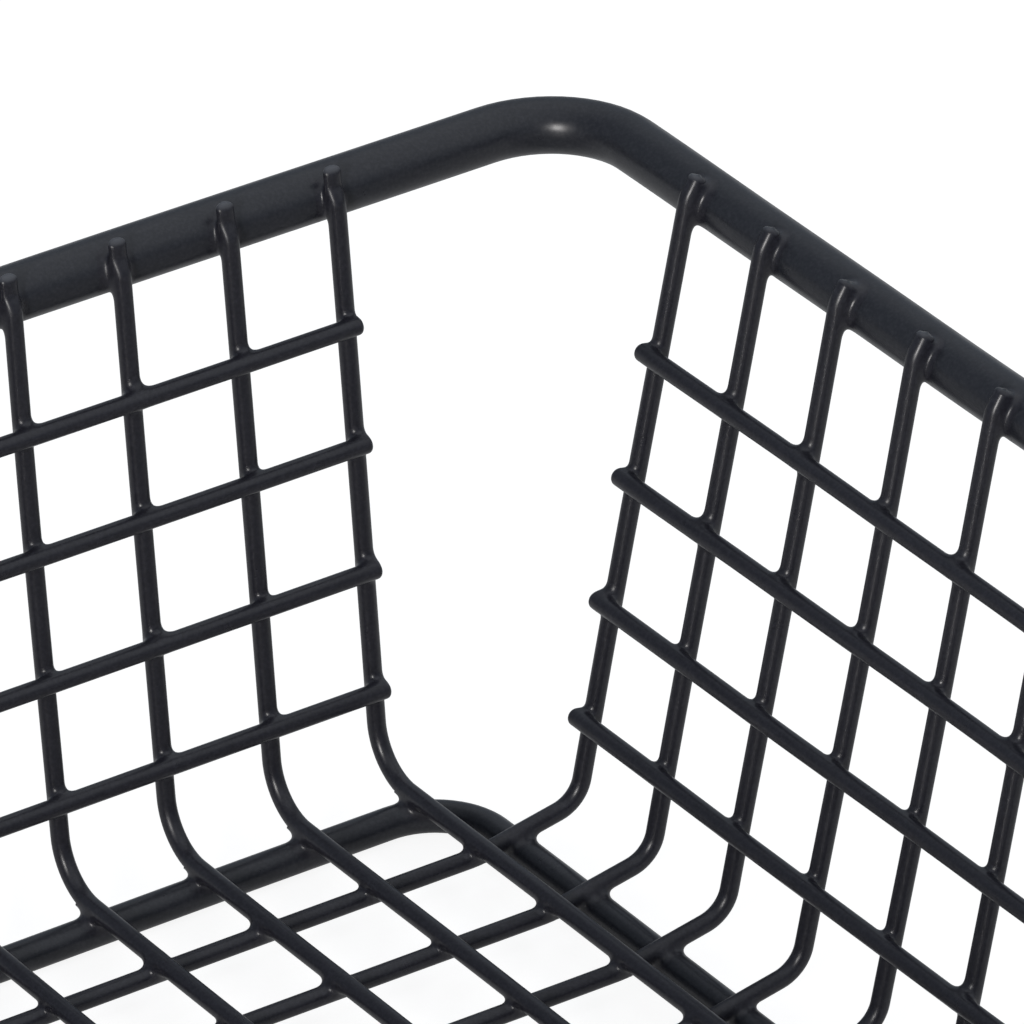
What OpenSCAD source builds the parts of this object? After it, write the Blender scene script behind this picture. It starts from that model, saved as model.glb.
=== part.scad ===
// Welded wire basket for a drawer or a desk top: a heavy round rim, a light base ring,
// U-shaped wires that cross under each other in the floor and climb all four walls,
// and four straight rails welded inside each wall. The four upright corners stay open.
//
// Frame: Z is up and Z = 0 is the table. The origin is under the middle of the basket,
// X runs along its long side and Y along its short side.

/* [Basket] */

// Length over the rim
basket_length = 302.5; // [260:0.5:340]
// Width over the rim
basket_width = 195; // [188:0.5:240]
// Height from the table to the top of the rim
basket_height = 72.6; // [68:0.1:90]

/* [Rods and wires] */

// Diameter of the rim rod
rim_rod_d = 6; // [5:0.1:7]
// Diameter of the base ring's rod
base_rod_d = 3.5; // [3:0.1:4]
// Diameter of the mesh wires and rails
wire_d = 2; // [1.6:0.1:2.4]

/* [Mesh] */

// Number of U-shaped wires that run across, from long wall to long wall
cross_wires = 19; // [15:1:20]
// Spacing of the cross wires
cross_pitch = 12.95; // [12:0.05:13.5]
// Number of U-shaped wires that run lengthwise, from end wall to end wall
long_wires = 11; // [8:1:11]
// Spacing of the lengthwise wires
long_pitch = 13.65; // [12:0.05:14]
// Heights of the four rails on each long wall, from the top down
long_wall_rail_z = [56.7, 43.1, 28.5, 14.5]; // [12:0.1:60]
// Heights of the four rails on each end wall, from the top down
end_wall_rail_z = [54.85, 41.35, 27.75, 14.75]; // [12:0.05:60]
// Length of a long wall's rail beyond the middle of its last upright
long_wall_overhang = 0.7; // [0.5:0.1:4]
// Length of an end wall's rail beyond the middle of its last upright
end_wall_overhang = 1; // [0.5:0.1:4]

/* [Walls] */

// Lean of the long walls from the vertical, in degrees
long_wall_lean = 3.55; // [2:0.05:6]
// Lean of the end walls from the vertical, in degrees
end_wall_lean = 13.3; // [8:0.1:14]
// Bend radius where a cross wire leaves the floor, to the middle of the wire
cross_bend_r = 6; // [4:0.1:7]
// Bend radius where a lengthwise wire leaves the floor, to the middle of the wire
long_bend_r = 4; // [3:0.1:5]
// Slope of the lengthwise wires between the outermost cross wire and the bend, in degrees
floor_lift = 10.5; // [6:0.1:11]
// Length of a cross wire's end past the place where it touches the rim
cross_tip = 4; // [2:0.1:5]
// How far round the rim a lengthwise wire bends, in degrees above the rim's middle
long_tip_angle = 33; // [20:1:45]
// Length of a lengthwise wire's straight end past that bend
long_tip = 1.7; // [0.5:0.1:3]

/* [Rings] */

// Corner radius of the rim, to the middle of the rod
rim_corner_r = 11; // [8:0.1:16]
// Corner radius of the base ring, to the middle of the rod
base_corner_r = 8.1; // [6:0.1:12]
// Distance from the rim to the base ring at the long walls, middle to middle
base_inset_long = 13.8; // [12:0.1:16]
// Distance from the rim to the base ring at the end walls, middle to middle
base_inset_end = 26.5; // [25:0.1:28]

/* [Welds] */

// Depth to which crossing floor wires are pressed into each other
mesh_sink = 0.4; // [0.1:0.05:0.6]
// Depth to which the rails are pressed into the uprights
rail_sink = 0.3; // [0.1:0.05:0.5]
// Depth to which the wire tops are pressed into the rim
rim_sink = 0.2; // [0.1:0.05:0.5]
// Depth to which the cross wires are pressed into the base ring
ring_sink = 0.1; // [0.05:0.05:0.3]

/* [Hidden] */

$fn = 48;

RIM_RADIUS = rim_rod_d / 2;
BASE_RADIUS = base_rod_d / 2;
WIRE_RADIUS = wire_d / 2;

rim_z = basket_height - RIM_RADIUS;

// Half sizes of the rectangle along the middle of the rim rod
half_length = basket_length / 2 - RIM_RADIUS;
half_width = basket_width / 2 - RIM_RADIUS;

// Heights of the two layers of floor wires: the cross wires lie on the lengthwise ones
cross_floor_z = base_rod_d + WIRE_RADIUS - ring_sink;
long_floor_z = cross_floor_z - wire_d + mesh_sink;

// Distance of a wire that lies against the rim, middle to middle
wrap_r = RIM_RADIUS + WIRE_RADIUS - rim_sink;

// A small bend that starts the rise of a lengthwise wire out of the level floor
lift_bend_r = 10;
outer_cross_x = (cross_wires - 1) / 2 * cross_pitch;
outer_long_y = (long_wires - 1) / 2 * long_pitch;

// Shades of the dark powder coat, the heavy rods a little lighter than the wires
ROD_COLOUR = "#30333a";
WIRE_COLOUR = "#26272d";

// Kinds of step in a wire's path
GO = 0;
TURN = 1;

// Extra radius of the ball at each joint of a wire, and how far the runs stop short of it
KNUCKLE = 0.02;

function two_digits(i) = i < 10 ? str("0", i) : str(i);

function names(stem, count) = [for (i = [1:count]) str(stem, i)];

// Length that a bend takes off each of the two straight runs it joins
function bend_setback(r, angle) = r * tan(angle / 2);

// Angle of a bend that is as long as the knuckle's extra radius
function trim_angle(bend_r) = KNUCKLE / bend_r * 180 / PI;

// The upright part of a wire leans outwards and touches the inside of the rim. These give
// the height and the distance from the middle at which it touches.
function touch_z(lean) = rim_z + wrap_r * sin(lean);
function touch_u(half, lean) = half - wrap_r * cos(lean);

// Distance of an upright from the middle of the basket at height z
function upright_u(half, lean, z) = touch_u(half, lean) - (touch_z(lean) - z) * tan(lean);

// Height at which a floor run that rises at `lift` from (start_u, floor_z) meets the upright
function meeting_z(half, lean, floor_z, start_u, lift) =
    (floor_z + (touch_u(half, lean) - touch_z(lean) * tan(lean) - start_u) * tan(lift))
    / (1 - tan(lean) * tan(lift));

// Half length of a cross wire's floor run
cross_setback = bend_setback(cross_bend_r, 90 - long_wall_lean);
cross_floor_half = upright_u(half_width, long_wall_lean, cross_floor_z) - cross_setback;

// A cross wire from the end of its floor run: it climbs the long wall straight past the rim
cross_climb = (touch_z(long_wall_lean) - cross_floor_z) / cos(long_wall_lean) - cross_setback;
cross_wall_path = [
    [TURN, cross_bend_r, 90 - long_wall_lean],
    [GO, cross_climb + cross_tip]
];

// Half length of a lengthwise wire's floor run, level under all the cross wires
lift_setback = bend_setback(lift_bend_r, floor_lift);
long_floor_half = outer_cross_x - lift_setback;

// A lengthwise wire from there: it rises over the base ring, climbs the end wall and leans
// over the rim with its end
long_bend = 90 - end_wall_lean - floor_lift;
long_setback = bend_setback(long_bend_r, long_bend);
long_corner_z = meeting_z(half_length, end_wall_lean, long_floor_z, outer_cross_x, floor_lift);
long_corner_x = upright_u(half_length, end_wall_lean, long_corner_z);
long_rise = (long_corner_x - outer_cross_x) / cos(floor_lift);
long_wall_path = [
    [TURN, lift_bend_r, floor_lift],
    [GO, long_rise - lift_setback - long_setback],
    [TURN, long_bend_r, long_bend],
    [GO, (touch_z(end_wall_lean) - long_corner_z) / cos(end_wall_lean) - long_setback],
    [TURN, wrap_r, end_wall_lean - long_tip_angle],
    [GO, long_tip]
];

// Part of a round rod bent in the XY plane. It leaves the origin towards +Y and turns to the
// left for a positive angle; `trim` degrees are left off each end.
module bent_part(rod_r, bend_r, angle, trim = 0) {
    side = angle > 0 ? 1 : -1;
    translate([-side * bend_r, 0, 0])
        rotate([0, 0, side > 0 ? trim : 180 + angle + trim])
            rotate_extrude(angle = abs(angle) - 2 * trim)
                translate([bend_r, 0])
                    circle(rod_r);
}

// A wire that follows a list of straight runs and bends in the XY plane, heading towards +Y.
// Each run starts in a ball a hair wider than the wire, which joins it to the one before.
module bent_wire(path, i = 0) {
    if (i < len(path)) {
        sphere(r = WIRE_RADIUS + KNUCKLE);
        if (path[i][0] == GO) {
            length = path[i][1];
            translate([0, KNUCKLE, 0])
                rotate([-90, 0, 0])
                    cylinder(r = WIRE_RADIUS, h = length - 2 * KNUCKLE);
            translate([0, length, 0])
                bent_wire(path, i + 1);
        } else {
            bend_r = path[i][1];
            angle = path[i][2];
            centre_x = (angle > 0 ? -1 : 1) * bend_r;
            bent_part(WIRE_RADIUS, bend_r, angle, trim_angle(bend_r));
            translate([centre_x, 0, 0])
                rotate([0, 0, angle])
                    translate([-centre_x, 0, 0])
                        bent_wire(path, i + 1);
        }
    }
}

// A closed rounded rectangle of rod, flat in the XY plane and centred on the origin
module rod_ring(half_x, half_y, corner_r, rod_r) {
    straight_x = half_x - corner_r;
    straight_y = half_y - corner_r;
    for (side = [-1, 1]) {
        translate([0, side * half_y, 0])
            rotate([0, 90, 0])
                cylinder(r = rod_r, h = 2 * straight_x, center = true);
        translate([side * half_x, 0, 0])
            rotate([90, 0, 0])
                cylinder(r = rod_r, h = 2 * straight_y, center = true);
    }
    for (mirror_x = [0, 1], mirror_y = [0, 1])
        mirror([mirror_x, 0, 0])
            mirror([0, mirror_y, 0])
                translate([half_x, straight_y, 0])
                    bent_part(rod_r, corner_r, 90);
}

// A U-shaped wire in the XZ plane: a level floor run, and the same path up either wall
module u_wire(floor_half, wall_path, floor_z) {
    translate([0, 0, floor_z]) {
        rotate([0, 90, 0])
            cylinder(r = WIRE_RADIUS, h = 2 * (floor_half - KNUCKLE), center = true);
        for (side = [0, 1])
            mirror([side, 0, 0])
                translate([floor_half, 0, 0])
                    rotate([90, 0, 0])
                        rotate([0, 0, -90])
                            bent_wire(wall_path);
    }
}

// A straight rail along X, cut off just past the outermost uprights
module rail(outer_upright, overhang) {
    rotate([0, 90, 0])
        cylinder(r = WIRE_RADIUS, h = 2 * (outer_upright + overhang), center = true);
}

// Distance of a rail from the middle of the basket, inside its uprights
function rail_u(half, lean, z) = upright_u(half, lean, z) - (wire_d - rail_sink) / cos(lean);

module top_rim() {
    color(ROD_COLOUR)
        translate([0, 0, rim_z])
            rod_ring(half_length, half_width, rim_corner_r, RIM_RADIUS);
}

module base_ring() {
    color(ROD_COLOUR)
        translate([0, 0, BASE_RADIUS])
            rod_ring(
                half_length - base_inset_end,
                half_width - base_inset_long,
                base_corner_r,
                BASE_RADIUS
            );
}

// Cross wires are counted from the left end
module cross_wire(i) {
    color(WIRE_COLOUR)
        translate([(i - 1) * cross_pitch - outer_cross_x, 0, 0])
            rotate([0, 0, 90])
                u_wire(cross_floor_half, cross_wall_path, cross_floor_z);
}

// Lengthwise wires are counted from the front wall
module long_wire(i) {
    color(WIRE_COLOUR)
        translate([0, (i - 1) * long_pitch - outer_long_y, 0])
            u_wire(long_floor_half, long_wall_path, long_floor_z);
}

// Rails are counted from the top down
module long_wall_rail(i, side) {
    z = long_wall_rail_z[i - 1];
    color(WIRE_COLOUR)
        translate([0, side * rail_u(half_width, long_wall_lean, z), z])
            rail(outer_cross_x, long_wall_overhang);
}

module end_wall_rail(i, side) {
    z = end_wall_rail_z[i - 1];
    color(WIRE_COLOUR)
        translate([side * rail_u(half_length, end_wall_lean, z), 0, z])
            rotate([0, 0, 90])
                rail(outer_long_y, end_wall_overhang);
}

top_rim();
base_ring();
for (i = [1:cross_wires])
    cross_wire(i);
for (i = [1:long_wires])
    long_wire(i);
for (i = [1:len(long_wall_rail_z)]) {
    long_wall_rail(i, 1);
    long_wall_rail(i, -1);
}
for (i = [1:len(end_wall_rail_z)]) {
    end_wall_rail(i, 1);
    end_wall_rail(i, -1);
}
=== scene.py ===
"""Looks of the welded wire basket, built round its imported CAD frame.

Every rod and wire is swept again at a finer grain along the path of its CAD solid, with
rounded, painted ends. Each weld gets the small web of paint and metal that fills its corners.
All of it is bent by one smooth, shallow wave field, so the welds stay closed.
"""

import math

import bpy
import numpy as np
from mathutils import Matrix, Vector


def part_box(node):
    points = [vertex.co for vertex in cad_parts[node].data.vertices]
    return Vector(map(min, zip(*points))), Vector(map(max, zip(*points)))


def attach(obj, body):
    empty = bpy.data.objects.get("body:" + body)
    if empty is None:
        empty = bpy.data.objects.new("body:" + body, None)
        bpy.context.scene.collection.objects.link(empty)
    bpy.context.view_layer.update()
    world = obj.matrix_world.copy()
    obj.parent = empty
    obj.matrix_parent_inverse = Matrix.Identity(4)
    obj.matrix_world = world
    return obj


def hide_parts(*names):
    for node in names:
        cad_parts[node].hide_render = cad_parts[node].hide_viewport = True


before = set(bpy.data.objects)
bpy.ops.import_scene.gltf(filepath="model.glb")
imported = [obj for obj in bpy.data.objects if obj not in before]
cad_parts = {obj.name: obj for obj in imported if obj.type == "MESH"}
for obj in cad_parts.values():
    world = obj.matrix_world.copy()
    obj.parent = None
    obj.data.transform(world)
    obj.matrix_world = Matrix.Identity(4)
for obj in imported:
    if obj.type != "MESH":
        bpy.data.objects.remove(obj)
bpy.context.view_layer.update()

MM = 0.001
X, Y, Z = range(3)
rng = np.random.default_rng(19)

# ---------------------------------------------------------------- sizes, as in part.scad, in mm

RIM_RADIUS, BASE_RADIUS, WIRE_RADIUS = 3.0, 1.75, 1.0
RIM_CORNER_R, BASE_CORNER_R = 11.0, 8.1
LONG_WALL_LEAN, END_WALL_LEAN = math.radians(3.55), math.radians(13.3)
CROSS_BEND_R, LONG_BEND_R, LIFT_BEND_R = 6.0, 4.0, 10.0
FLOOR_LIFT = math.radians(10.5)
CROSS_TIP, LONG_TIP_ANGLE, LONG_TIP = 4.0, math.radians(33), 1.7
RIM_SINK, RING_SINK, MESH_SINK, RAIL_SINK = 0.2, 0.1, 0.4, 0.3
WRAP_R = RIM_RADIUS + WIRE_RADIUS - RIM_SINK


def box_mm(node):
    low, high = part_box(node)
    return np.array(low) / MM, np.array(high) / MM


def middle(node):
    low, high = box_mm(node)
    return (low + high) / 2


NODES = sorted(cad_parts)
CROSS = [n for n in NODES if n.startswith("cross_wire_")]
LONG = [n for n in NODES if n.startswith("long_wire_")]
LONG_WALL_RAILS = [n for n in NODES if n.startswith(("back_rail_", "front_rail_"))]
END_WALL_RAILS = [n for n in NODES if n.startswith(("right_rail_", "left_rail_"))]

HALF_LENGTH, HALF_WIDTH = (box_mm("top_rim")[1] - RIM_RADIUS)[:2]
RIM_Z = middle("top_rim")[Z]
RING_X, RING_Y = (box_mm("base_ring")[1] - BASE_RADIUS)[:2]
CROSS_X = [middle(n)[X] for n in CROSS]
LONG_Y = [middle(n)[Y] for n in LONG]
CROSS_FLOOR_Z = 2 * BASE_RADIUS + WIRE_RADIUS - RING_SINK
LONG_FLOOR_Z = CROSS_FLOOR_Z - 2 * WIRE_RADIUS + MESH_SINK
OUTER_CROSS_X = max(CROSS_X)

# ---------------------------------------------------------------- camera

# The view of the right back corner: where the lens points, measured from the rim's corner
AIM_FROM_CORNER = np.array([-17.789, -13.292, -36.376])
CAMERA_DISTANCE = 1403.4
CAMERA_AZIMUTH, CAMERA_ELEVATION = math.radians(32.305), math.radians(29.692)
CAMERA_ROLL = math.radians(-1.992)
LENS, SENSOR_WIDTH = 476.56, 36.0
CLIP_START, CLIP_END = 0.05, 60.0


def make_camera():
    sin_a, cos_a = math.sin(CAMERA_AZIMUTH), math.cos(CAMERA_AZIMUTH)
    sin_e, cos_e = math.sin(CAMERA_ELEVATION), math.cos(CAMERA_ELEVATION)
    forward = Vector((sin_a * cos_e, cos_a * cos_e, -sin_e))
    level = Vector((cos_a, -sin_a, 0))
    upright = Vector((sin_a * sin_e, cos_a * sin_e, cos_e))
    right = level * math.cos(CAMERA_ROLL) + upright * math.sin(CAMERA_ROLL)
    up = upright * math.cos(CAMERA_ROLL) - level * math.sin(CAMERA_ROLL)
    aim = Vector((HALF_LENGTH, HALF_WIDTH, RIM_Z)) + Vector(AIM_FROM_CORNER)
    data = bpy.data.cameras.new("camera")
    data.lens, data.sensor_width = LENS, SENSOR_WIDTH
    data.clip_start, data.clip_end = CLIP_START, CLIP_END
    camera = bpy.data.objects.new("camera", data)
    bpy.context.scene.collection.objects.link(camera)
    turn = Matrix((right, up, -forward)).transposed().to_4x4()
    camera.matrix_world = Matrix.Translation((aim - forward * CAMERA_DISTANCE) * MM) @ turn
    bpy.context.scene.camera = camera


# ---------------------------------------------------------------- paths

GO, TURN = "go", "turn"
RUN_STEP = 3.5
BEND_STEP = math.radians(6)
# A cross wire's end is swept in short steps from a little below the rim's middle
PRESS_BELOW, PRESS_STEPS = 1.5, 20


def bend_setback(radius, angle):
    return radius * math.tan(angle / 2)


def touch_z(lean):
    return RIM_Z + WRAP_R * math.sin(lean)


def touch_u(half, lean):
    return half - WRAP_R * math.cos(lean)


def upright_u(half, lean, z):
    """Distance of an upright from the middle of the basket at height z."""
    return touch_u(half, lean) - (touch_z(lean) - z) * math.tan(lean)


def trace(steps, start):
    """Points (u, z) and headings along straight runs and bends, from start towards +u."""
    place, heading = np.array(start, float), 0.0
    points, headings = [place.copy()], [heading]
    for kind, *size in steps:
        if kind == GO:
            count = max(1, math.ceil(size[0] / RUN_STEP))
            ahead = np.array([math.cos(heading), math.sin(heading)])
            for _ in range(count):
                place = place + ahead * size[0] / count
                points.append(place)
                headings.append(heading)
        else:
            radius, angle = size
            side = math.copysign(1, angle)
            centre = place + radius * side * np.array([-math.sin(heading), math.cos(heading)])
            count = max(2, math.ceil(abs(angle) / BEND_STEP))
            for _ in range(count):
                heading += angle / count
                place = centre + radius * side * np.array(
                    [math.sin(heading), -math.cos(heading)]
                )
                points.append(place)
                headings.append(heading)
    return np.array(points), np.array(headings)


def cross_wire_steps(short):
    """Half of a cross wire, from the middle of the floor to `short` of its cut end."""
    setback = bend_setback(CROSS_BEND_R, math.pi / 2 - LONG_WALL_LEAN)
    floor_half = upright_u(HALF_WIDTH, LONG_WALL_LEAN, CROSS_FLOOR_Z) - setback
    climb = (touch_z(LONG_WALL_LEAN) - CROSS_FLOOR_Z) / math.cos(LONG_WALL_LEAN) - setback
    return [
        (GO, floor_half),
        (TURN, CROSS_BEND_R, math.pi / 2 - LONG_WALL_LEAN),
        (GO, climb - PRESS_BELOW),
        *[(GO, (PRESS_BELOW + CROSS_TIP - short) / PRESS_STEPS)] * PRESS_STEPS,
    ]


def long_wire_steps(short):
    """Half of a lengthwise wire, from the middle of the floor to `short` of its cut end."""
    lean, lift = END_WALL_LEAN, FLOOR_LIFT
    foot_u = touch_u(HALF_LENGTH, lean) - touch_z(lean) * math.tan(lean) - OUTER_CROSS_X
    corner_z = LONG_FLOOR_Z + foot_u * math.tan(lift)
    corner_z /= 1 - math.tan(lean) * math.tan(lift)
    rise = (upright_u(HALF_LENGTH, lean, corner_z) - OUTER_CROSS_X) / math.cos(lift)
    bend = math.pi / 2 - lean - lift
    lift_setback, setback = bend_setback(LIFT_BEND_R, lift), bend_setback(LONG_BEND_R, bend)
    return [
        (GO, OUTER_CROSS_X - lift_setback),
        (TURN, LIFT_BEND_R, lift),
        (GO, rise - lift_setback - setback),
        (TURN, LONG_BEND_R, bend),
        (GO, (touch_z(lean) - corner_z) / math.cos(lean) - setback),
        (TURN, WRAP_R, lean - LONG_TIP_ANGLE),
        (GO, LONG_TIP - short),
    ]


def ring_path(half_x, half_y, corner_r):
    """Points and outward normals (x, y) round a rounded rectangle."""
    points, normals = [], []
    for quarter in range(4):
        turn = quarter * math.pi / 2
        outward = np.array([math.cos(turn), math.sin(turn)])
        along = np.array([-outward[1], outward[0]])
        out, run = (half_x, half_y) if quarter % 2 == 0 else (half_y, half_x)
        run -= corner_r
        count = math.ceil(2 * run / RUN_STEP)
        for k in range(count):
            points.append(outward * out + along * run * (2 * k / count - 1))
            normals.append(outward)
        centre = outward * (out - corner_r) + along * run
        bends = math.ceil(math.pi / 2 / BEND_STEP)
        for k in range(bends):
            angle = turn + k / bends * math.pi / 2
            normal = np.array([math.cos(angle), math.sin(angle)])
            points.append(centre + normal * corner_r)
            normals.append(normal)
    return np.array(points), np.array(normals)


# ---------------------------------------------------------------- meshes as arrays

SIDES, CAP_STEPS = 32, 6
# Radius of the paint round the edge of a cut end, and how far the cut face bulges
CUT_EDGE, CUT_BULGE = 0.5, 0.2
# Where above the rim's middle a pressed end starts to thin, over what height, and how much
PRESS_FROM, PRESS_RISE, PRESS_DEPTH = 0.2, 2.5, 0.74
# How much a pressed end slopes down to the inside, and after what share of its thinning
CUT_SLANT, SLANT_FROM = 0.5, 0.6
# How much longer than its CAD solid a wire may be at its cut end
TIP_SPREAD = 0.3
# How closely two places in the frame have to agree to be the same place
PLACE_SLACK = 0.1


class Shape:
    """Vertices in mm with quads and triangles, ready to be joined into one mesh."""

    def __init__(self):
        self.verts, self.quads, self.tris, self.count = [], [], [], 0

    def add(self, verts, quads=(), tris=()):
        if len(quads):
            self.quads.append(np.asarray(quads) + self.count)
        if len(tris):
            self.tris.append(np.asarray(tris) + self.count)
        self.verts.append(np.asarray(verts))
        self.count += len(verts)


def sweep(points, normals, binormals, radii, closed):
    """A round rod through the points: vertices, and quads between neighbouring rings."""
    angle = np.arange(SIDES) / SIDES * 2 * math.pi
    across = normals[:, None] * np.cos(angle)[:, None] + binormals[:, None] * np.sin(angle)[:, None]
    verts = points[:, None] + radii[:, None, None] * across
    rings = len(points)
    start = np.arange(rings if closed else rings - 1)[:, None] * SIDES
    ahead = (start + SIDES) % (rings * SIDES)
    here = np.arange(SIDES)[None]
    beside = (here + 1) % SIDES
    quads = np.stack([start + here, start + beside, ahead + beside, ahead + here], -1)
    return verts.reshape(-1, 3), quads.reshape(-1, 4)


def closed_volume(verts, quads, tris):
    """Six times the volume inside the faces, negative when they face inwards."""
    total = 0.0
    for faces in (tris, quads[:, [0, 1, 2]], quads[:, [0, 2, 3]]):
        a, b, c = (verts[faces[:, k]] for k in range(3))
        total += np.einsum("ij,ij->i", a, np.cross(b, c)).sum()
    return total


def unit(vector):
    return vector / np.linalg.norm(vector)


def rounded_rod(shape, points, normals, binormals, radius):
    """Adds a rod whose cut ends, a rounded edge past the last points, are softened by paint."""
    back, ahead = unit(points[0] - points[1]), unit(points[-1] - points[-2])
    angle = np.linspace(0, math.pi / 2, CAP_STEPS + 1)[1:]
    out = CUT_EDGE * np.sin(angle)[:, None]
    cap_radii = radius - CUT_EDGE + CUT_EDGE * np.cos(angle)
    centres = np.vstack([points[0] + back * out[::-1], points, points[-1] + ahead * out])
    radii = np.concatenate([cap_radii[::-1], np.full(len(points), radius), cap_radii])
    caps = ((CAP_STEPS, CAP_STEPS), (0, 0))
    normals, binormals = np.pad(normals, caps, "edge"), np.pad(binormals, caps, "edge")
    verts, quads = sweep(centres, normals, binormals, radii, False)
    first, last = len(verts), len(verts) + 1
    reach = CUT_EDGE + CUT_BULGE
    verts = np.vstack([verts, points[0] + back * reach, points[-1] + ahead * reach])
    around = np.arange(SIDES)
    beside = (around + 1) % SIDES
    end = first - SIDES
    tris = np.vstack(
        [
            np.stack([np.full(SIDES, first), beside, around], -1),
            np.stack([np.full(SIDES, last), end + around, end + beside], -1),
        ]
    )
    if closed_volume(verts, quads, tris) < 0:
        quads, tris = quads[:, ::-1], tris[:, ::-1]
    shape.add(verts, quads, tris)


def axis_vector(axis):
    return np.eye(3)[axis]


def u_wire(shape, steps, floor_z, fixed, across):
    """Adds a U-shaped wire in a vertical plane. `across` is the axis its floor run lies along."""
    points, headings = trace(steps, (0.0, floor_z))
    points = np.vstack([points[:0:-1] * [-1, 1], points])
    headings = np.concatenate([-headings[:0:-1], headings])
    lifted = np.zeros((len(points), 3))
    lifted[:, across], lifted[:, Z] = points.T
    lifted[:, 1 - across] = fixed
    normals = np.zeros_like(lifted)
    normals[:, across], normals[:, Z] = -np.sin(headings), np.cos(headings)
    binormals = np.tile(axis_vector(1 - across), (len(lifted), 1))
    rounded_rod(shape, lifted, normals, binormals, WIRE_RADIUS)


def press_ends(shape):
    """Thins the ends of the cross wire, or of its rim web, that was added last.

    The ends are thin where the welding tongs pressed on them.
    """
    verts = shape.verts[-1]
    side, z = np.sign(verts[:, Y]), verts[:, Z]
    inner = upright_u(HALF_WIDTH, LONG_WALL_LEAN, z) - np.abs(verts[:, Y])
    climb = (z - RIM_Z - PRESS_FROM) / PRESS_RISE
    rise = np.clip(climb, 0, 1)
    depth = PRESS_DEPTH * rise * rise * (3 - 2 * rise)
    slant = CUT_SLANT * np.clip(climb - SLANT_FROM, 0, 1)
    facing = np.clip(0.5 + inner / WIRE_RADIUS / 2, 0, 1)
    verts[:, Y] += side * depth * facing
    verts[:, Z] -= slant * facing


def rail(node, along):
    """A straight rail between the ends of its CAD node."""
    low, high = box_mm(node)
    centre, half = (low + high) / 2, (high[along] - low[along]) / 2 - CUT_EDGE
    count = math.ceil(2 * half / RUN_STEP)
    points = np.tile(centre, (count + 1, 1))
    points[:, along] += np.linspace(-half, half, count + 1)
    normals = np.tile(axis_vector(Z), (count + 1, 1))
    binormals = np.tile(axis_vector(1 - along), (count + 1, 1))
    shape = Shape()
    rounded_rod(shape, points, normals, binormals, WIRE_RADIUS)
    return shape


def ring(half_x, half_y, corner_r, z, radius):
    """A level closed ring of round rod."""
    points, normals = ring_path(half_x, half_y, corner_r)
    lifted = np.column_stack([points, np.full(len(points), z)])
    outward = np.column_stack([normals, np.zeros(len(points))])
    up = np.tile(axis_vector(Z), (len(points), 1))
    verts, quads = sweep(lifted, outward, up, np.full(len(points), radius), True)
    if closed_volume(verts, quads, np.empty((0, 3), int)) < 0:
        quads = quads[:, ::-1]
    shape = Shape()
    shape.add(verts, quads)
    return shape


# ---------------------------------------------------------------- welds

VOXEL = 0.16
# How far a web's border lies under the surface of the rods, and how thick its skin is
TUCK, SKIN = 0.004, 0.12
# How often a web's vertices are moved onto its surface, and the step that measures its slope
SETTLE_ROUNDS, NUDGE = 4, 1e-3
# Half length of the straight rods that a web looks at, and overhang of a rail that runs on
ROD_HALF, FAR = 6.0, 9.0
# Number of points at the end of a wire's path that its rim web looks at, and round the ring's bend
RIM_WEB_TAIL, RING_BEND_POINTS = 24, 31
# How far the webs spread, with one value for each variant of a weld
WIRE_SPREADS, RIM_SPREADS, RING_SPREADS = (1.0, 1.25, 1.5), (1.2, 1.5), (1.2, 1.5)
SLOPED_RING_SPREADS, RING_CORNER_SPREADS = (0.9, 1.2), (1.3,)
# How far the box of voxels reaches from a weld's middle, and in single directions
FLOOR_BOX, RAIL_BOX, RIM_BOX, RING_BOX = 2.6, 2.7, 3.6, 3.6
RAIL_BOX_IN, RAIL_BOX_OUT = 3.6, 1.6
RIM_BOX_IN, RIM_BOX_OUT, RIM_BOX_DOWN, RIM_BOX_UP = 5.3, 1.6, 4.6, 5.2
RING_BOX_DOWN = 1.5
CORNER_BOX_X, CORNER_BOX_Y, CORNER_BOX_DOWN = 3.0, 3.4, 1.2
ABOVE_WIRE = 1.4


def rod_distance(points, path, radius, cut):
    """Distance of points from the surface of a round rod along a path of straight pieces.

    With `cut`, the rod ends at the path's last point in a flat face with a rounded edge.
    """
    if cut:
        ahead = unit(path[-1] - path[-2])
        past = (points - path[-1]) @ ahead + CUT_EDGE
        path = np.vstack([path, path[-1] + ahead * 2 * radius])
        side = rod_distance(points, path, radius, False) + CUT_EDGE
        corner = np.hypot(np.maximum(side, 0), np.maximum(past, 0))
        return corner + np.minimum(np.maximum(side, past), 0) - CUT_EDGE
    best = np.full(len(points), np.inf)
    for a, b in zip(path[:-1], path[1:]):
        run = b - a
        share = np.clip((points - a) @ run / (run @ run), 0, 1)
        best = np.minimum(best, np.linalg.norm(points - a - share[:, None] * run, axis=1))
    return best - radius


def blended(points, rods, spread):
    """Smooth union of rods, and how much the blend adds over the plain union."""
    first, second = (rod_distance(points, path, radius - TUCK, cut) for path, radius, cut in rods)
    near = np.clip(1 - np.abs(first - second) / spread, 0, 1)
    added = near * near * spread / 4
    return np.minimum(first, second) - added, added


def crossed_edges(values):
    """For each axis: which grid edges cross the surface, where on the edge, which start inside."""
    inside = values < 0
    crossed = []
    for axis in range(3):
        behind, ahead = [slice(None)] * 3, [slice(None)] * 3
        behind[axis], ahead[axis] = slice(None, -1), slice(1, None)
        a, b = values[tuple(behind)], values[tuple(ahead)]
        cross = inside[tuple(behind)] != inside[tuple(ahead)]
        share = np.where(cross, a / np.where(cross, a - b, 1), 0)
        crossed.append((cross, share, inside[tuple(behind)]))
    return crossed


def other_axes(axis):
    return [k for k in range(3) if k != axis]


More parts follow.
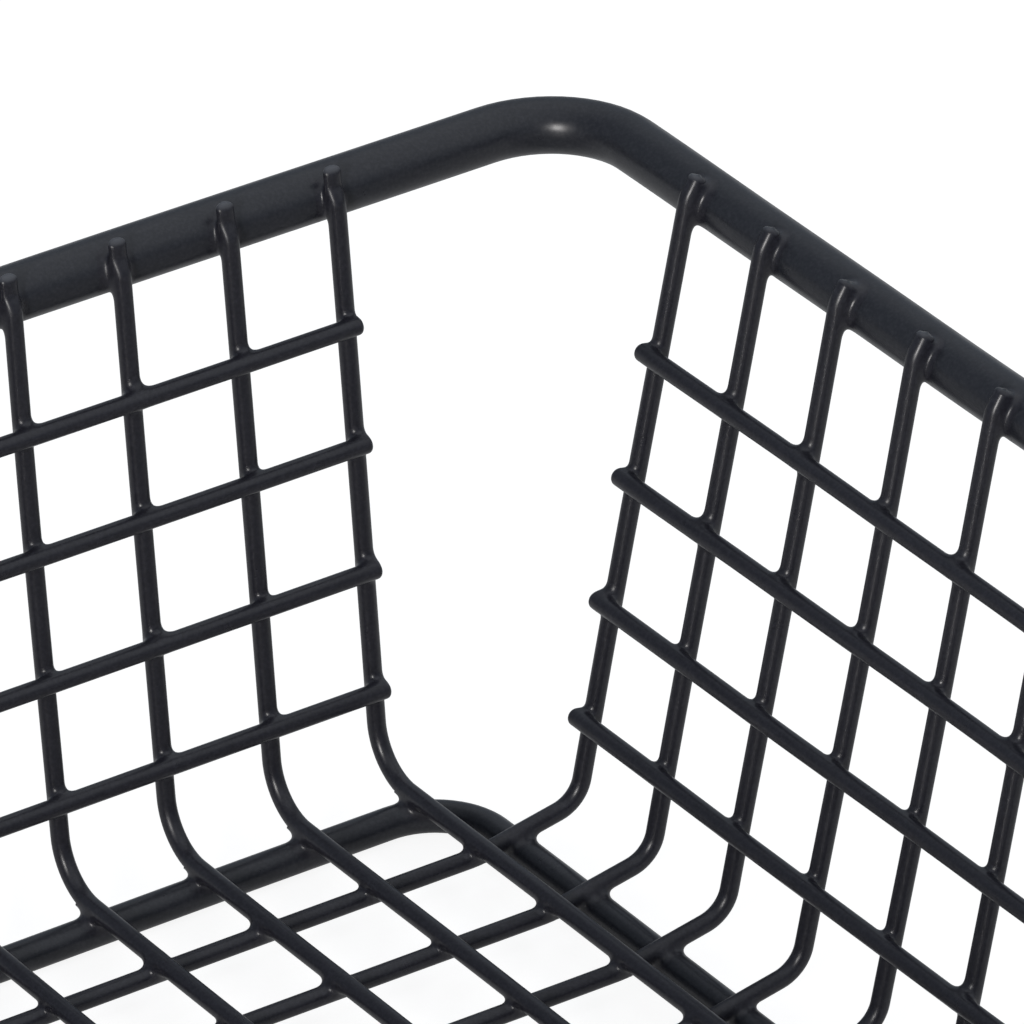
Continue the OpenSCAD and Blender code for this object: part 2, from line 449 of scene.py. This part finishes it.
def net_vertices(crossed, shape):
    """Which cells the surface passes, and the middle of its crossings there, in cells."""
    cells = [n - 1 for n in shape]
    cell = np.stack(np.meshgrid(*(np.arange(n) for n in cells), indexing="ij"), -1)
    total, count = np.zeros((*cells, 3)), np.zeros(cells)
    for axis, (cross, share, _from_inside) in enumerate(crossed):
        for steps in ((0, 0), (0, 1), (1, 0), (1, 1)):
            part = [slice(None)] * 3
            for other, step in zip(other_axes(axis), steps):
                part[other] = slice(step, shape[other] - 1 + step)
            hit = cross[tuple(part)]
            count += hit
            total[..., axis] += hit * (cell[..., axis] + share[tuple(part)])
            for other, step in zip(other_axes(axis), steps):
                total[..., other] += hit * (cell[..., other] + step)
    used = count > 0
    return used, total[used] / count[used][:, None]


def net_quads(crossed, index):
    """A quad round each crossed edge, between the cells that share the edge."""
    quads = []
    for axis, (cross, _share, from_inside) in enumerate(crossed):
        others = other_axes(axis)
        inner = [slice(None)] * 3
        for other in others:
            inner[other] = slice(1, -1)
        where = np.argwhere(cross[tuple(inner)])
        where[:, others] += 1
        corners = []
        for steps in ((-1, -1), (0, -1), (0, 0), (-1, 0)):
            at = where.copy()
            at[:, others] += steps
            corners.append(index[tuple(at.T)])
        made = np.stack(corners, -1)
        flip = from_inside[tuple(where.T)] ^ (axis == 1)
        made[~flip] = made[~flip][:, ::-1]
        quads.append(made)
    return np.vstack(quads)


def surface_net(values, low):
    """Vertices and quads of the zero surface of a sampled field."""
    crossed = crossed_edges(values)
    used, places = net_vertices(crossed, values.shape)
    index = np.full(used.shape, -1)
    index[used] = np.arange(used.sum())
    return places * VOXEL + low, net_quads(crossed, index)


def settle(verts, rods, spread):
    """Moves the vertices of a net onto the blended surface, and gives its normals there."""
    for _ in range(SETTLE_ROUNDS):
        value, _added = blended(verts, rods, spread)
        nudged = [blended(verts + NUDGE * axis, rods, spread)[0] for axis in np.eye(3)]
        slope = (np.stack(nudged, -1) - value[:, None]) / NUDGE
        normals = slope / np.linalg.norm(slope, axis=1)[:, None]
        verts = verts - normals * np.clip(value, -VOXEL / 2, VOXEL / 2)[:, None]
    return verts, normals


def web(rods, spread, low, high):
    """The fillet between two rods as a thin closed skin whose border lies under their surface."""
    low, high = np.array(low, float), np.array(high, float)
    axes = [np.arange(a, b + VOXEL, VOXEL) for a, b in zip(low, high)]
    grid = np.stack(np.meshgrid(*axes, indexing="ij"), -1)
    values, _added = blended(grid.reshape(-1, 3), rods, spread)
    verts, quads = surface_net(values.reshape(grid.shape[:3]), low)
    verts, normals = settle(verts, rods, spread)
    _value, added = blended(verts, rods, spread)
    kept = quads[(added[quads] > TUCK).any(1)]
    used, kept = np.unique(kept, return_inverse=True)
    kept = kept.reshape(-1, 4)
    outer = verts[used]
    inner = outer - normals[used] * SKIN
    edges = np.stack([kept, np.roll(kept, -1, 1)], -1).reshape(-1, 2)
    _edge, first, times = np.unique(
        np.sort(edges, 1), axis=0, return_index=True, return_counts=True
    )
    border = edges[first[times == 1]]
    size = len(outer)
    sides = np.stack([border[:, 1], border[:, 0], border[:, 0] + size, border[:, 1] + size], -1)
    return np.vstack([outer, inner]), np.vstack([kept, kept[:, ::-1] + size, sides])


def place_web(shape, made, flips, offset):
    """Adds a copy of a web, mirrored where a flip is -1, then moved."""
    verts, quads = made
    if np.prod(flips) < 0:
        quads = quads[:, ::-1]
    shape.add(verts * flips + offset, quads)


def straight(point, direction):
    point, direction = np.array(point, float), np.array(direction, float)
    return np.array([point - direction * ROD_HALF, point + direction * ROD_HALF])


def wire_in_plane(steps, floor_z, across, tail):
    """The last part of a U-shaped wire's path as 3D points, its plane through the origin."""
    points, _headings = trace(steps, (0.0, floor_z))
    points = points[-tail:]
    lifted = np.zeros((len(points), 3))
    lifted[:, across], lifted[:, Z] = points.T
    return lifted


def floor_web(spread):
    """Where a cross wire lies on a lengthwise wire, seen from the middle of the cross wire."""
    drop = LONG_FLOOR_Z - CROSS_FLOOR_Z
    upper = (straight((0, 0, 0), axis_vector(Y)), WIRE_RADIUS, False)
    lower = (straight((0, 0, drop), axis_vector(X)), WIRE_RADIUS, False)
    low = (-FLOOR_BOX, -FLOOR_BOX, drop - ABOVE_WIRE)
    return web((upper, lower), spread, low, (FLOOR_BOX, FLOOR_BOX, ABOVE_WIRE))


def rail_web(spread, lean, across, past):
    """Where a rail crosses the inside of an upright, on the wall towards +u of the basket.

    The rail ends `past` the upright's middle on its positive side.
    """
    up = axis_vector(across) * math.sin(lean) + axis_vector(Z) * math.cos(lean)
    rail_at = axis_vector(across) * -(2 * WIRE_RADIUS - RAIL_SINK) / math.cos(lean)
    along = axis_vector(1 - across)
    path = np.array([rail_at - along * FAR, rail_at + along * past])
    rods = [(straight((0, 0, 0), up), WIRE_RADIUS, False), (path, WIRE_RADIUS, True)]
    low, high = np.full(3, -RAIL_BOX), np.full(3, RAIL_BOX)
    low[across], high[across] = -RAIL_BOX_IN, RAIL_BOX_OUT
    return web(rods, spread, low, high)


def rim_web(spread, steps, floor_z, half, across):
    """Where a wire's top wraps the inside of the rim. The rim's middle is the origin."""
    wire = wire_in_plane(steps, floor_z, across, RIM_WEB_TAIL)
    wire[:, across] -= half
    wire[:, Z] -= RIM_Z
    rim = straight((0, 0, 0), axis_vector(1 - across))
    rods = [(wire, WIRE_RADIUS, True), (rim, RIM_RADIUS, False)]
    low, high = np.full(3, -RIM_BOX), np.full(3, RIM_BOX)
    low[across], high[across] = -RIM_BOX_IN, RIM_BOX_OUT
    low[Z], high[Z] = -RIM_BOX_DOWN, RIM_BOX_UP
    return web(rods, spread, low, high)


def ring_web(spread, across, lift, offset):
    """Where a floor wire crosses the straight part of the base ring, from the ring's middle."""
    over = axis_vector(across) * math.cos(lift) + axis_vector(Z) * math.sin(lift)
    rods = [
        (straight((0, 0, offset), over), WIRE_RADIUS, False),
        (straight((0, 0, 0), axis_vector(1 - across)), BASE_RADIUS, False),
    ]
    low, high = np.full(3, -RING_BOX), np.full(3, RING_BOX)
    low[Z], high[Z] = -RING_BOX_DOWN, offset + ABOVE_WIRE
    return web(rods, spread, low, high)


def ring_corner_y():
    """Where the outermost cross wire crosses the middle of the ring's bend."""
    step = OUTER_CROSS_X - (RING_X - BASE_CORNER_R)
    return RING_Y - BASE_CORNER_R + math.sqrt(BASE_CORNER_R**2 - step**2)


def ring_corner_web(spread):
    """Where the outermost cross wire crosses the ring's bend, in the right back corner."""
    x, y = OUTER_CROSS_X, ring_corner_y()
    angle = np.linspace(0, math.pi / 2, RING_BEND_POINTS)
    centre = np.array([RING_X - BASE_CORNER_R, RING_Y - BASE_CORNER_R])
    bend = centre + BASE_CORNER_R * np.stack([np.cos(angle), np.sin(angle)], -1)
    path = np.column_stack([bend, np.full(len(bend), BASE_RADIUS)])
    path = np.vstack([path, [centre[0] - ROD_HALF, RING_Y, BASE_RADIUS]])
    wire = straight((x, y, CROSS_FLOOR_Z), axis_vector(Y))
    return web(
        [(wire, WIRE_RADIUS, False), (path, BASE_RADIUS, False)],
        spread,
        (x - CORNER_BOX_X, y - CORNER_BOX_Y, BASE_RADIUS - CORNER_BOX_DOWN),
        (x + CORNER_BOX_X, y + CORNER_BOX_Y, CROSS_FLOOR_Z + ABOVE_WIRE),
    )


def overhang(rails, uprights, along):
    """Length of the rails past the middle of their last upright."""
    return box_mm(rails[0])[1][along] - max(uprights)


def make_webs():
    cross_steps, long_steps = cross_wire_steps(0), long_wire_steps(0)
    long_wall_end = overhang(LONG_WALL_RAILS, CROSS_X, X)
    end_wall_end = overhang(END_WALL_RAILS, LONG_Y, Y)
    level = CROSS_FLOOR_Z - BASE_RADIUS
    sloped = LONG_FLOOR_Z - BASE_RADIUS + (RING_X - OUTER_CROSS_X) * math.tan(FLOOR_LIFT)
    makers = {
        "floor": (floor_web, WIRE_SPREADS),
        "long_wall_rail": (lambda k: rail_web(k, LONG_WALL_LEAN, Y, FAR), WIRE_SPREADS),
        "end_wall_rail": (lambda k: rail_web(k, END_WALL_LEAN, X, FAR), WIRE_SPREADS),
        "long_wall_rail_end": (
            lambda k: rail_web(k, LONG_WALL_LEAN, Y, long_wall_end), WIRE_SPREADS
        ),
        "end_wall_rail_end": (
            lambda k: rail_web(k, END_WALL_LEAN, X, end_wall_end), WIRE_SPREADS
        ),
        "rim_cross": (
            lambda k: rim_web(k, cross_steps, CROSS_FLOOR_Z, HALF_WIDTH, Y), RIM_SPREADS
        ),
        "rim_long": (
            lambda k: rim_web(k, long_steps, LONG_FLOOR_Z, HALF_LENGTH, X), RIM_SPREADS
        ),
        "ring_cross": (lambda k: ring_web(k, Y, 0.0, level), RING_SPREADS),
        "ring_long": (lambda k: ring_web(k, X, FLOOR_LIFT, sloped), SLOPED_RING_SPREADS),
        "ring_corner": (ring_corner_web, RING_CORNER_SPREADS),
    }
    return {name: [make(k) for k in spreads] for name, (make, spreads) in makers.items()}


def pick(choices):
    return choices[rng.integers(len(choices))]


def signs(x, y):
    return np.array([math.copysign(1, x), math.copysign(1, y), 1.0])


def outermost(place, places):
    """Whether a wire is one of the two at the ends of its row."""
    return math.isclose(abs(place), max(places), abs_tol=PLACE_SLACK)


def cross_wire(x, webs):
    """A cross wire with the webs of its floor, rail, rim and base ring welds."""
    shape = Shape()
    u_wire(shape, cross_wire_steps(CUT_EDGE - rng.uniform(0, TIP_SPREAD)), CROSS_FLOOR_Z, x, Y)
    press_ends(shape)
    for y in LONG_Y:
        place_web(shape, pick(webs["floor"]), signs(*rng.uniform(-1, 1, 2)), (x, y, CROSS_FLOOR_Z))
    for node in LONG_WALL_RAILS:
        y, z = middle(node)[1:]
        upright = upright_u(HALF_WIDTH, LONG_WALL_LEAN, z)
        kind, side = "long_wall_rail_end", x
        if not outermost(x, CROSS_X):
            kind, side = "long_wall_rail", rng.uniform(-1, 1)
        place_web(shape, pick(webs[kind]), signs(side, y), (x, math.copysign(upright, y), z))
    for side in (-1, 1):
        flips = signs(rng.uniform(-1, 1), side)
        place_web(shape, pick(webs["rim_cross"]), flips, (x, side * HALF_WIDTH, RIM_Z))
        press_ends(shape)
        if abs(x) > RING_X - BASE_CORNER_R:
            place_web(shape, pick(webs["ring_corner"]), signs(x, side), (0, 0, 0))
        else:
            place_web(shape, pick(webs["ring_cross"]), flips, (x, side * RING_Y, BASE_RADIUS))
    return shape


def long_wire(y, webs):
    """A lengthwise wire with the webs of its rail, rim and base ring welds."""
    shape = Shape()
    u_wire(shape, long_wire_steps(CUT_EDGE - rng.uniform(0, TIP_SPREAD)), LONG_FLOOR_Z, y, X)
    for node in END_WALL_RAILS:
        x, _y, z = middle(node)
        upright = upright_u(HALF_LENGTH, END_WALL_LEAN, z)
        kind, side = "end_wall_rail_end", y
        if not outermost(y, LONG_Y):
            kind, side = "end_wall_rail", rng.uniform(-1, 1)
        place_web(shape, pick(webs[kind]), signs(x, side), (math.copysign(upright, x), y, z))
    for side in (-1, 1):
        flips = signs(side, rng.uniform(-1, 1))
        place_web(shape, pick(webs["rim_long"]), flips, (side * HALF_LENGTH, y, RIM_Z))
        place_web(shape, pick(webs["ring_long"]), flips, (side * RING_X, y, BASE_RADIUS))
    return shape


# ---------------------------------------------------------------- the shallow waves of real wire

# How many waves there are, how far they move the wire, and the range of their lengths
WAVES, WAVE_SIZE, WAVE_LENGTHS = 7, 0.032, (30, 85)
WAVE_VECTORS = rng.normal(size=(WAVES, 3))
WAVE_VECTORS /= np.linalg.norm(WAVE_VECTORS, axis=1)[:, None]
WAVE_VECTORS *= 2 * math.pi / rng.uniform(*WAVE_LENGTHS, (WAVES, 1))
WAVE_PHASES = rng.uniform(0, 2 * math.pi, WAVES)
WAVE_MOVES = rng.normal(size=(WAVES, 3)) * WAVE_SIZE
# Below this height the upright part of the waves fades out, so that the ring stays on the table
LEVEL_BELOW = 24.0
# Angle between neighbouring faces from which their edge stays sharp
SHARP_FROM = math.radians(65)


def waved(verts):
    moved = np.sin(verts @ WAVE_VECTORS.T + WAVE_PHASES) @ WAVE_MOVES
    moved[:, Z] *= np.clip(verts[:, Z] / LEVEL_BELOW, 0, 1) ** 2
    return verts + moved


def make_mesh(name, shape):
    """A smooth mesh in metres, with its vertices on the waves."""
    verts = waved(np.vstack(shape.verts)) * MM
    quads = np.vstack(shape.quads)
    tris = np.vstack(shape.tris) if shape.tris else np.empty((0, 3), int)
    mesh = bpy.data.meshes.new(name)
    mesh.vertices.add(len(verts))
    mesh.vertices.foreach_set("co", verts.astype(np.float32).ravel())
    corners = np.concatenate([quads.ravel(), tris.ravel()])
    mesh.loops.add(len(corners))
    mesh.loops.foreach_set("vertex_index", corners.astype(np.int32))
    starts = np.concatenate(
        [np.arange(len(quads)) * 4, len(quads) * 4 + np.arange(len(tris)) * 3]
    )
    mesh.polygons.add(len(starts))
    mesh.polygons.foreach_set("loop_start", starts.astype(np.int32))
    mesh.update(calc_edges=True)
    mesh.validate()
    mesh.shade_smooth()
    mesh.set_sharp_from_angle(angle=SHARP_FROM)
    return mesh


def make_piece(name, shape, node, material):
    mesh = make_mesh(name, shape)
    mesh.materials.append(material)
    piece = bpy.data.objects.new(name, mesh)
    bpy.context.scene.collection.objects.link(piece)
    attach(piece, "root")
    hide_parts(node)


def build_basket(rod_coat, wire_coat):
    webs = make_webs()
    rods = {
        "top_rim": ring(HALF_LENGTH, HALF_WIDTH, RIM_CORNER_R, RIM_Z, RIM_RADIUS),
        "base_ring": ring(RING_X, RING_Y, BASE_CORNER_R, BASE_RADIUS, BASE_RADIUS),
    }
    for node, shape in rods.items():
        make_piece("coated_" + node, shape, node, rod_coat)
    wires = {node: cross_wire(x, webs) for node, x in zip(CROSS, CROSS_X)}
    wires.update({node: long_wire(y, webs) for node, y in zip(LONG, LONG_Y)})
    wires.update({node: rail(node, X) for node in LONG_WALL_RAILS})
    wires.update({node: rail(node, Y) for node in END_WALL_RAILS})
    for node, shape in wires.items():
        make_piece("coated_" + node, shape, node, wire_coat)


# ---------------------------------------------------------------- materials

COAT_SPECULAR, PEEL_HEIGHT = 0.36, 0.00006
# Scales of the noise in the flecks and in the gloss, and the values of it that they span
GRAIN_SCALE, GRAIN_FROM, GRAIN_TO = 2600.0, 0.4, 0.75
CLOUD_SCALE, CLOUD_FROM, CLOUD_TO = 260.0, 0.3, 0.7
# Heights above the rim's middle between which a painted highlight makes the paint paler on the
# wires' cut ends, and the colour of that highlight
TIP_HIGHLIGHT_FROM, TIP_HIGHLIGHT_TO = 3.7, 4.15
TIP_HIGHLIGHT_COLOUR = (0.056, 0.059, 0.068, 1)
FLOOR_COLOUR, FLOOR_ROUGHNESS, FLOOR_SPECULAR = (0.2, 0.198, 0.195, 1), 0.3, 0.4
# Strength of the floor's glow in the light that it gives, and as the camera sees it
FLOOR_GLOW, FLOOR_SHOWN_GLOW = 0.36, 0.88
# Sockets of a colour mix: its factor, the two colours and the result
FACTOR, COLOUR_A, COLOUR_B, MIXED = 0, 6, 7, 2


def add_node(tree, kind, **inputs):
    """A new shader node with constant values on some of its inputs."""
    made = tree.nodes.new(kind)
    for key, value in inputs.items():
        made.inputs[key.replace("_", " ")].default_value = value
    return made


def colour_mix(tree):
    mix = tree.nodes.new("ShaderNodeMix")
    mix.data_type = "RGBA"
    return mix


def join(tree, source, output, target, socket):
    tree.links.new(source.outputs[output], target.inputs[socket])


def coat_colour(tree, place, colour, fleck):
    """Fine flecks in dark paint, with a painted highlight that makes the colour paler over the cut
    ends above the rim.
    """
    grain = add_node(tree, "ShaderNodeTexNoise", Scale=GRAIN_SCALE, Detail=2.0, Roughness=0.6)
    spread = add_node(tree, "ShaderNodeMapRange", From_Min=GRAIN_FROM, From_Max=GRAIN_TO)
    shade = colour_mix(tree)
    shade.inputs[COLOUR_A].default_value = (*colour, 1)
    shade.inputs[COLOUR_B].default_value = (*fleck, 1)
    join(tree, place, "Object", grain, "Vector")
    join(tree, grain, "Fac", spread, "Value")
    join(tree, spread, "Result", shade, FACTOR)

    # Painted highlight: above the rim the colour turns paler with height, standing in for overhead
    # light on the cut ends.
    split = tree.nodes.new("ShaderNodeSeparateXYZ")
    high = tree.nodes.new("ShaderNodeMapRange")
    high.inputs["From Min"].default_value = (RIM_Z + TIP_HIGHLIGHT_FROM) * MM
    high.inputs["From Max"].default_value = (RIM_Z + TIP_HIGHLIGHT_TO) * MM
    tip_highlight = colour_mix(tree)
    tip_highlight.inputs[COLOUR_B].default_value = TIP_HIGHLIGHT_COLOUR
    join(tree, place, "Object", split, "Vector")
    join(tree, split, "Z", high, "Value")
    join(tree, high, "Result", tip_highlight, FACTOR)
    join(tree, shade, MIXED, tip_highlight, COLOUR_A)
    return tip_highlight


def coat_gloss(tree, place, roughness):
    """Slow changes between the two values of the roughness."""
    cloud = add_node(tree, "ShaderNodeTexNoise", Scale=CLOUD_SCALE, Detail=3.0, Roughness=0.55)
    gloss = add_node(tree, "ShaderNodeMapRange", From_Min=CLOUD_FROM, From_Max=CLOUD_TO)
    gloss.inputs["To Min"].default_value = roughness[0]
    gloss.inputs["To Max"].default_value = roughness[1]
    join(tree, place, "Object", cloud, "Vector")
    join(tree, cloud, "Fac", gloss, "Value")
    return gloss


def coat_peel(tree, place, scale, strength):
    """The shallow bumps of orange peel."""
    skin = add_node(tree, "ShaderNodeTexNoise", Scale=scale, Detail=2.0, Roughness=0.5)
    bump = add_node(tree, "ShaderNodeBump", Strength=strength, Distance=PEEL_HEIGHT)
    join(tree, place, "Object", skin, "Vector")
    join(tree, skin, "Fac", bump, "Height")
    return bump


def powder_coat(name, colour, fleck, roughness, peel_scale, peel_strength):
    """Satin powder coat: a dark cool paint with orange peel, fine flecks and uneven gloss."""
    material = bpy.data.materials.new(name)
    material.use_nodes = True
    tree = material.node_tree
    tree.nodes.clear()
    place = tree.nodes.new("ShaderNodeTexCoord")
    coat = tree.nodes.new("ShaderNodeBsdfPrincipled")
    coat.inputs["Specular IOR Level"].default_value = COAT_SPECULAR
    end = tree.nodes.new("ShaderNodeOutputMaterial")
    join(tree, coat_colour(tree, place, colour, fleck), MIXED, coat, "Base Color")
    join(tree, coat_gloss(tree, place, roughness), "Result", coat, "Roughness")
    join(tree, coat_peel(tree, place, peel_scale, peel_strength), "Normal", coat, "Normal")
    join(tree, coat, "BSDF", end, "Surface")
    return material


def floor_material():
    material = bpy.data.materials.new("pale_floor")
    material.use_nodes = True
    tree = material.node_tree
    paint = tree.nodes["Principled BSDF"]
    paint.inputs["Base Color"].default_value = FLOOR_COLOUR
    paint.inputs["Roughness"].default_value = FLOOR_ROUGHNESS
    paint.inputs["Specular IOR Level"].default_value = FLOOR_SPECULAR
    paint.inputs["Emission Color"].default_value = (1, 1, 1, 1)
    path = tree.nodes.new("ShaderNodeLightPath")
    glow = tree.nodes.new("ShaderNodeMapRange")
    glow.inputs["To Min"].default_value = FLOOR_GLOW
    glow.inputs["To Max"].default_value = FLOOR_SHOWN_GLOW
    join(tree, path, "Is Camera Ray", glow, "Value")
    join(tree, glow, "Result", paint, "Emission Strength")
    return material


# ---------------------------------------------------------------- floor, lamp and background

FLOOR_HALF = 9.0
LAMP_DIRECTION, LAMP_DISTANCE, LAMP_SIZE = (-0.74, -0.58, 0.33), 2.6, (0.4, 0.85)
LAMP_POWER, LAMP_COLOUR = 48, (1.0, 0.97, 0.95)
# Direction of the brightest part of the soft light overhead, and the cosines of the angles
# from it over which the light changes between its two colours
SKY_MIDDLE = (0.4, -0.16, 0.9)
SKY_FROM, SKY_TO = 0.35, 0.95
SKY_DIM, SKY_BRIGHT = (0.27, 0.305, 0.355, 1), (0.92, 0.96, 1.02, 1)


def make_floor():
    mesh = bpy.data.meshes.new("floor")
    corners = [(x * FLOOR_HALF, y * FLOOR_HALF, 0) for x, y in ((-1, -1), (1, -1), (1, 1), (-1, 1))]
    mesh.from_pydata(corners, [], [(0, 1, 2, 3)])
    mesh.materials.append(floor_material())
    floor = bpy.data.objects.new("floor", mesh)
    bpy.context.scene.collection.objects.link(floor)


def make_lamp():
    """An elliptical area light that faces the basket."""
    data = bpy.data.lights.new("lamp", "AREA")
    data.shape, data.size, data.size_y = "ELLIPSE", *LAMP_SIZE
    data.energy, data.color = LAMP_POWER, LAMP_COLOUR
    lamp = bpy.data.objects.new("lamp", data)
    away = Vector(LAMP_DIRECTION).normalized()
    lamp.location = away * LAMP_DISTANCE
    lamp.rotation_mode = "QUATERNION"
    lamp.rotation_quaternion = away.to_track_quat("Z", "Y")
    lamp.visible_camera = False
    bpy.context.scene.collection.objects.link(lamp)


def make_world():
    """Soft light from above that fades with the angle from its brightest part."""
    world = bpy.data.worlds.new("room")
    world.use_nodes = True
    tree = world.node_tree
    back = tree.nodes["Background"]
    back.inputs["Strength"].default_value = 1.0
    place = tree.nodes.new("ShaderNodeTexCoord")
    toward = tree.nodes.new("ShaderNodeVectorMath")
    toward.operation = "DOT_PRODUCT"
    toward.inputs[1].default_value = Vector(SKY_MIDDLE).normalized()
    spread = tree.nodes.new("ShaderNodeMapRange")
    spread.interpolation_type = "SMOOTHSTEP"
    spread.inputs["From Min"].default_value = SKY_FROM
    spread.inputs["From Max"].default_value = SKY_TO
    shade = colour_mix(tree)
    shade.inputs[COLOUR_A].default_value = SKY_DIM
    shade.inputs[COLOUR_B].default_value = SKY_BRIGHT
    join(tree, place, "Generated", toward, 0)
    join(tree, toward, "Value", spread, "Value")
    join(tree, spread, "Result", shade, FACTOR)
    join(tree, shade, MIXED, back, "Color")
    bpy.context.scene.world = world


# ---------------------------------------------------------------- all together

make_camera()
ROD_COAT = powder_coat(
    "rod_coat",
    colour=(0.011, 0.012, 0.016),
    fleck=(0.02, 0.021, 0.026),
    roughness=(0.27, 0.37),
    peel_scale=900.0,
    peel_strength=0.2,
)
WIRE_COAT = powder_coat(
    "wire_coat",
    colour=(0.010, 0.010, 0.014),
    fleck=(0.018, 0.018, 0.024),
    roughness=(0.27, 0.38),
    peel_scale=1100.0,
    peel_strength=0.2,
)
build_basket(ROD_COAT, WIRE_COAT)
make_floor()
make_world()
make_lamp()
bpy.context.scene.view_settings.view_transform = "Standard"
